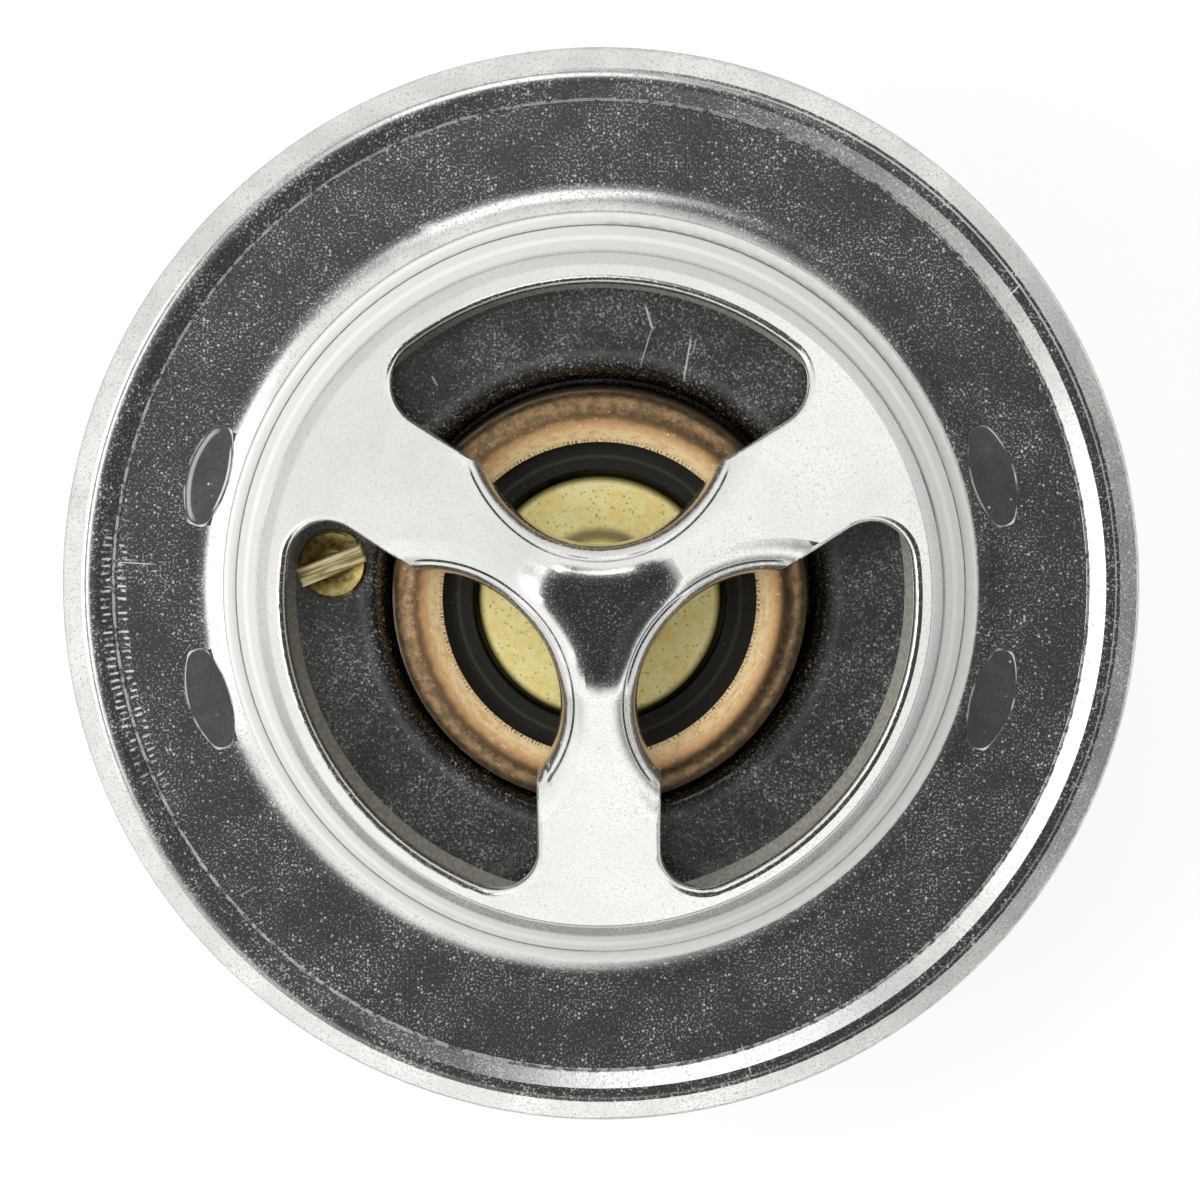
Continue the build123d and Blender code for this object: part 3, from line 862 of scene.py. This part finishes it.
# Rubber parts: the seal moulded round the valve plate, the sleeve round the piston and the ring
# above it, all in satin black rubber; the seal is dusty and browned.


def dress(tree, shader, colour, roughness, metallic, relief, depth):
    """Sets a surface's colour, roughness, share of metal and relief."""
    set_inputs(tree, shader, {
        "Base Color": colour,
        "Roughness": roughness,
        "Metallic": metallic,
        "Normal": bumped(tree, relief, depth),
    })


def moulded(name, pale, dull, smooth, rough):
    """Satin moulded surface with a faint grain."""
    material, tree, shader, place = new_material(name)
    grain = noise(tree, place, 0.0002)
    colour = blend_colour(tree, ramp(tree, grain, 0.35, 0.65), dull, pale)
    dress(tree, shader, colour, ramp(tree, grain, 0.3, 0.7, smooth, rough), 0.0, grain, 0.000008)
    return material


seal_rubber = moulded("seal_rubber", (0.40, 0.39, 0.34, 1), (0.28, 0.27, 0.23, 1), 0.4, 0.55)
wear("valve_seal", seal_rubber)
sleeve_rubber = moulded(
    "sleeve_rubber", (0.035, 0.035, 0.035, 1), (0.02, 0.02, 0.02, 1), 0.42, 0.6
)
wear("rubber_sleeve", sleeve_rubber)
wear("seal_ring", sleeve_rubber)

# Wax charge: pale copper-filled wax, cast round the sleeve inside the cup.
wear("wax_charge", moulded("wax", (0.70, 0.58, 0.42, 1), (0.62, 0.48, 0.33, 1), 0.35, 0.5))

# Wax cup: drawn copper with its mouth rolled inwards. The roll is painted dark brown outside,
# partly browning and partly painted shade; its rubbed inner slope is painted bright as a painted
# highlight, brighter towards the finely torn edge of the mouth, with painted glints.
copper_highlight = (1.0, 0.77, 0.42, 1)
copper_orange = (0.68, 0.35, 0.14, 1)
copper_brown = (0.27, 0.165, 0.085, 1)
copper_dark = (0.13, 0.09, 0.05, 1)
copper_torn = (0.05, 0.035, 0.02, 1)
copper_glint = (1.0, 0.86, 0.62, 1)
roll_height = (0.0035, 0.0045)
slope_reach = (0.0092, 0.0086)
slope_highlight_reach = (0.0088, 0.0082)
mouth_reach = (0.00797, 0.00785)
line_stretch = 0.0032
edge_wander = 0.0006
tooth_count = 240.0
tooth_wander = 22.0
material, tree, shader, place = new_material("cup_copper")
distance, angle, height = polar(tree, place)
round_place = add_node(
    tree,
    "ShaderNodeCombineXYZ",
    {0: calculate(tree, "MULTIPLY", angle, line_stretch), 1: distance, 2: height},
).outputs[0]
draw_lines = noise(tree, round_place, 0.00018, detail=3.0, roughness=0.7)
mottle = noise(tree, place, 0.0005, detail=4.0, roughness=0.7)
grain = noise(tree, place, 0.00012, roughness=0.6)
slope_edge = calculate(
    tree, "MULTIPLY_ADD", calculate(tree, "SUBTRACT", mottle, 0.5), edge_wander, distance
)
# The inner slope: rubbed, and painted bright as a painted highlight.
rubbed_and_lit = all_of(tree, ramp(tree, slope_edge, *slope_reach), ramp(tree, height, *roll_height))
# The outer roll: browning, painted darker as painted shade too.
browned_and_shaded = blend_colour(tree, ramp(tree, mottle, 0.4, 0.62), copper_dark, copper_brown)
tooth_angle = calculate(tree, "MULTIPLY", angle, tooth_count)
tooth_wave = calculate(
    tree, "SINE", calculate(tree, "MULTIPLY_ADD", mottle, tooth_wander, tooth_angle)
)
torn = all_of(
    tree,
    ramp(tree, tooth_wave, -0.1, 0.9),
    ramp(tree, draw_lines, 0.38, 0.58),
    ramp(tree, distance, *mouth_reach),
)
# The painted highlight grows brighter towards the mouth.
slope_highlight_share = all_of(
    tree,
    ramp(tree, draw_lines, 0.32, 0.6, 0.4, 1.0),
    ramp(tree, distance, *slope_highlight_reach, 0.2, 1.0),
)
slope = blend_colour(tree, slope_highlight_share, copper_orange, copper_highlight)
skin = blend_colour(tree, rubbed_and_lit, browned_and_shaded, blend_colour(tree, torn, slope, copper_torn))
# Painted glints on the slope.
glints = all_of(tree, specks(tree, place, 0.00016, 0.12), ramp(tree, rubbed_and_lit, 0, 1, 0.25, 1.0))
dress(
    tree,
    shader,
    colour=blend_colour(tree, glints, skin, copper_glint),
    roughness=ramp(tree, rubbed_and_lit, 0.0, 1.0, 0.38, 0.5),
    metallic=ramp(tree, rubbed_and_lit, 0.0, 1.0, 0.9, 0.25),
    relief=calculate(tree, "ADD", draw_lines, grain),
    depth=0.000008,
)
wear("wax_cup", material)

# Clamp washer and backup washer: blackened steel rings under the roll and under the seal ring. The
# clamp washer has a faint turned line.
black_steel = (0.02, 0.018, 0.015, 1)
bare_steel = (0.16, 0.14, 0.10, 1)
turned_ring = (0.0069, 0.00705)
turned_soft = 0.0001
turned_share = 0.3
material, tree, shader, place = new_material("washer_steel")
grain = noise(tree, place, 0.0002, detail=3.0, roughness=0.7)
turned_line = band(tree, polar(tree, place)[0], *turned_ring, turned_soft)
bare = most(
    tree, ramp(tree, grain, 0.62, 0.78), calculate(tree, "MULTIPLY", turned_line, turned_share)
)
dress(
    tree,
    shader,
    colour=blend_colour(tree, bare, black_steel, bare_steel),
    roughness=ramp(tree, grain, 0.3, 0.7, 0.45, 0.6),
    metallic=0.5,
    relief=grain,
    depth=0.00001,
)
wear("clamp_washer", material)
wear("backup_washer", material)

# Guide: turned brass plug that carries the piston, matt and slightly tarnished on its flat end,
# with painted shade round the boss's root and at the outer edge, and painted glints.
guide_deep = (0.96, 0.77, 0.29, 1)
guide_pale = (1.0, 0.92, 0.45, 1)
guide_speck = (0.42, 0.33, 0.12, 1)
guide_glint = (1.0, 0.92, 0.62, 1)
guide_shade = (0.20, 0.17, 0.05, 1)
boss_ring = (0.0028, 0.0034)
boss_soft = 0.00025
guide_edge = (0.0056, 0.0059)
material, tree, shader, place = new_material("guide_brass")
mottle = noise(tree, place, 0.0007, detail=4.0, roughness=0.75)
grain = noise(tree, place, 0.00016, roughness=0.6)
skin = blend_colour(tree, ramp(tree, mottle, 0.38, 0.62), guide_deep, guide_pale)
specked = blend_colour(tree, specks(tree, place, 0.00015, 0.3), skin, guide_speck)
# Painted glints where the grain is high.
glinting = blend_colour(tree, ramp(tree, grain, 0.6, 0.75, 0.0, 0.5), specked, guide_glint)
distance = polar(tree, place)[0]
# Painted shade round the boss's root and at the outer edge.
root_and_edge_shade = most(
    tree, band(tree, distance, *boss_ring, boss_soft), ramp(tree, distance, *guide_edge)
)
dress(
    tree,
    shader,
    colour=blend_colour(tree, root_and_edge_shade, glinting, guide_shade),
    roughness=ramp(tree, grain, 0.3, 0.7, 0.38, 0.52),
    metallic=0.1,
    relief=grain,
    depth=0.000005,
)
wear("guide", material)

# Bleed eyelet: brass tube riveted through the valve plate, its dish dulled by the coolant.
eyelet_dark = (0.22, 0.17, 0.06, 1)
eyelet_pale = (0.46, 0.36, 0.15, 1)
material, tree, shader, place = new_material("eyelet_brass")
grain = noise(tree, place, 0.0003, detail=3.0, roughness=0.6)
dress(
    tree,
    shader,
    colour=blend_colour(tree, ramp(tree, grain, 0.35, 0.65), eyelet_dark, eyelet_pale),
    roughness=ramp(tree, grain, 0.3, 0.7, 0.25, 0.4),
    metallic=1.0,
    relief=grain,
    depth=0.000006,
)
wear("bleed_eyelet", material)

# Jiggle pin: brass, loose in the eyelet, its top pressed into a flat bar with lines along it.
pin_dark = (0.34, 0.25, 0.08, 1)
pin_pale = (1.0, 0.86, 0.5, 1)
bar_turn = math.radians(22)
line_length = 12.0
material, tree, shader, place = new_material("pin_brass")
bar_place = add_node(
    tree,
    "ShaderNodeMapping",
    {0: place, 2: (0, 0, bar_turn), 3: (line_length, 1.0, 1.0)},
    vector_type="TEXTURE",
).outputs[0]
lines = noise(tree, bar_place, 0.00022, detail=3.0, roughness=0.6)
dress(
    tree,
    shader,
    colour=blend_colour(tree, ramp(tree, lines, 0.38, 0.56), pin_dark, pin_pale),
    roughness=ramp(tree, lines, 0.3, 0.7, 0.5, 0.32),
    metallic=0.4,
    relief=lines,
    depth=0.00001,
)
wear("jiggle_pin", material)
